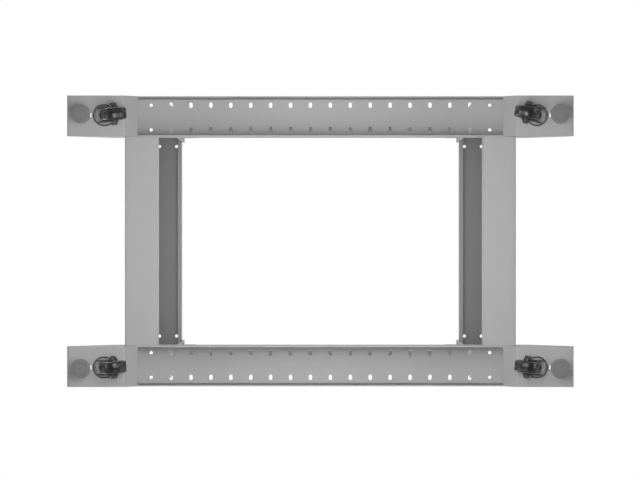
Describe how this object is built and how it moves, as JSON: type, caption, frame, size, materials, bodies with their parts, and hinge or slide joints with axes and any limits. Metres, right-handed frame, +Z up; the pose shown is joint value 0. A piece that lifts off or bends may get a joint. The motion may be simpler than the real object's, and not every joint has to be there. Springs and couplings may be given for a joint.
{
  "type": "four post open frame rack",
  "caption": "Open frame rack: four perforated posts on two footed side rails, joined by cross-members, with casters and levelling feet.",
  "frame": {"origin": "on the floor, under the middle of the rack", "axes": "+X across the rack, +Y from front to rear, +Z up"},
  "size_m": [0.575, 1, 1.0101],
  "materials": {
    "frame_paint": "satin powder coat",
    "caster_metal": "semi-gloss black and dark zinc plating",
    "fork_metal": "semi-gloss black paint",
    "bolt_zinc": "zinc plating",
    "wheel_plastic": "moulded",
    "tyre_rubber": "moulded",
    "pad_plastic": "moulded"
  },
  "bodies": {
    "frame": {"side_rail_left": "frame_paint", "side_rail_right": "frame_paint", "base_cross_front": "frame_paint", "base_cross_rear": "frame_paint", "top_cross_front": "frame_paint", "top_cross_rear": "frame_paint", "top_side_left": "frame_paint", "top_side_right": "frame_paint", "foot_plate_front_left": "frame_paint", "post_front_left": "frame_paint", "top_bracket_front_left": "frame_paint", "caster_race_front_left": "caster_metal", "foot_plate_front_right": "frame_paint", "post_front_right": "frame_paint", "top_bracket_front_right": "frame_paint", "caster_race_front_right": "caster_metal", "foot_plate_rear_left": "frame_paint", "post_rear_left": "frame_paint", "top_bracket_rear_left": "frame_paint", "caster_race_rear_left": "caster_metal", "foot_plate_rear_right": "frame_paint", "post_rear_right": "frame_paint", "top_bracket_rear_right": "frame_paint", "caster_race_rear_right": "caster_metal"},
    "caster_front_left": {"caster_fork_front_left": "fork_metal", "caster_axle_front_left": "bolt_zinc"},
    "wheel_front_left": {"caster_wheel_front_left": "wheel_plastic", "caster_tyre_front_left": "tyre_rubber"},
    "leveller_front_left": {"levelling_foot_front_left": "pad_plastic"},
    "caster_front_right": {"caster_fork_front_right": "fork_metal", "caster_axle_front_right": "bolt_zinc"},
    "wheel_front_right": {"caster_wheel_front_right": "wheel_plastic", "caster_tyre_front_right": "tyre_rubber"},
    "leveller_front_right": {"levelling_foot_front_right": "pad_plastic"},
    "caster_rear_left": {"caster_fork_rear_left": "fork_metal", "caster_axle_rear_left": "bolt_zinc"},
    "wheel_rear_left": {"caster_wheel_rear_left": "wheel_plastic", "caster_tyre_rear_left": "tyre_rubber"},
    "leveller_rear_left": {"levelling_foot_rear_left": "pad_plastic"},
    "caster_rear_right": {"caster_fork_rear_right": "fork_metal", "caster_axle_rear_right": "bolt_zinc"},
    "wheel_rear_right": {"caster_wheel_rear_right": "wheel_plastic", "caster_tyre_rear_right": "tyre_rubber"},
    "leveller_rear_right": {"levelling_foot_rear_right": "pad_plastic"}
  },
  "joints": [
    {"name": "swivel_front_left", "type": "hinge", "parent": "frame", "child": "caster_front_left", "pos_m": [-0.2485, -0.4266, 0.063], "axis": [0, 0, 1], "range_deg": [-86, 94]},
    {"name": "wheel_spin_front_left", "type": "hinge", "parent": "caster_front_left", "child": "wheel_front_left", "pos_m": [-0.24699, -0.40505, 0.028], "axis": [-0.9976, 0.0698, 0], "continuous": true},
    {"name": "level_front_left", "type": "slide", "parent": "frame", "child": "leveller_front_left", "axis": [0, 0, 1], "range_m": [-0.015, 0.025]},
    {"name": "swivel_front_right", "type": "hinge", "parent": "frame", "child": "caster_front_right", "pos_m": [0.2485, -0.4266, 0.063], "axis": [0, 0, 1], "range_deg": [-86, 94]},
    {"name": "wheel_spin_front_right", "type": "hinge", "parent": "caster_front_right", "child": "wheel_front_right", "pos_m": [0.25001, -0.40505, 0.028], "axis": [-0.9976, 0.0698, 0], "continuous": true},
    {"name": "level_front_right", "type": "slide", "parent": "frame", "child": "leveller_front_right", "axis": [0, 0, 1], "range_m": [-0.015, 0.025]},
    {"name": "swivel_rear_left", "type": "hinge", "parent": "frame", "child": "caster_rear_left", "pos_m": [-0.2485, 0.4266, 0.063], "axis": [0, 0, 1], "range_deg": [-96, 84]},
    {"name": "wheel_spin_rear_left", "type": "hinge", "parent": "caster_rear_left", "child": "wheel_rear_left", "pos_m": [-0.24624, 0.40512, 0.028], "axis": [0.9945, 0.1045, 0], "continuous": true},
    {"name": "level_rear_left", "type": "slide", "parent": "frame", "child": "leveller_rear_left", "axis": [0, 0, 1], "range_m": [-0.015, 0.025]},
    {"name": "swivel_rear_right", "type": "hinge", "parent": "frame", "child": "caster_rear_right", "pos_m": [0.2485, 0.4266, 0.063], "axis": [0, 0, 1], "range_deg": [-101, 79]},
    {"name": "wheel_spin_rear_right", "type": "hinge", "parent": "caster_rear_right", "child": "wheel_rear_right", "pos_m": [0.25262, 0.4054, 0.028], "axis": [0.9816, 0.1908, 0], "continuous": true},
    {"name": "level_rear_right", "type": "slide", "parent": "frame", "child": "leveller_rear_right", "axis": [0, 0, 1], "range_m": [-0.015, 0.025]}
  ]
}
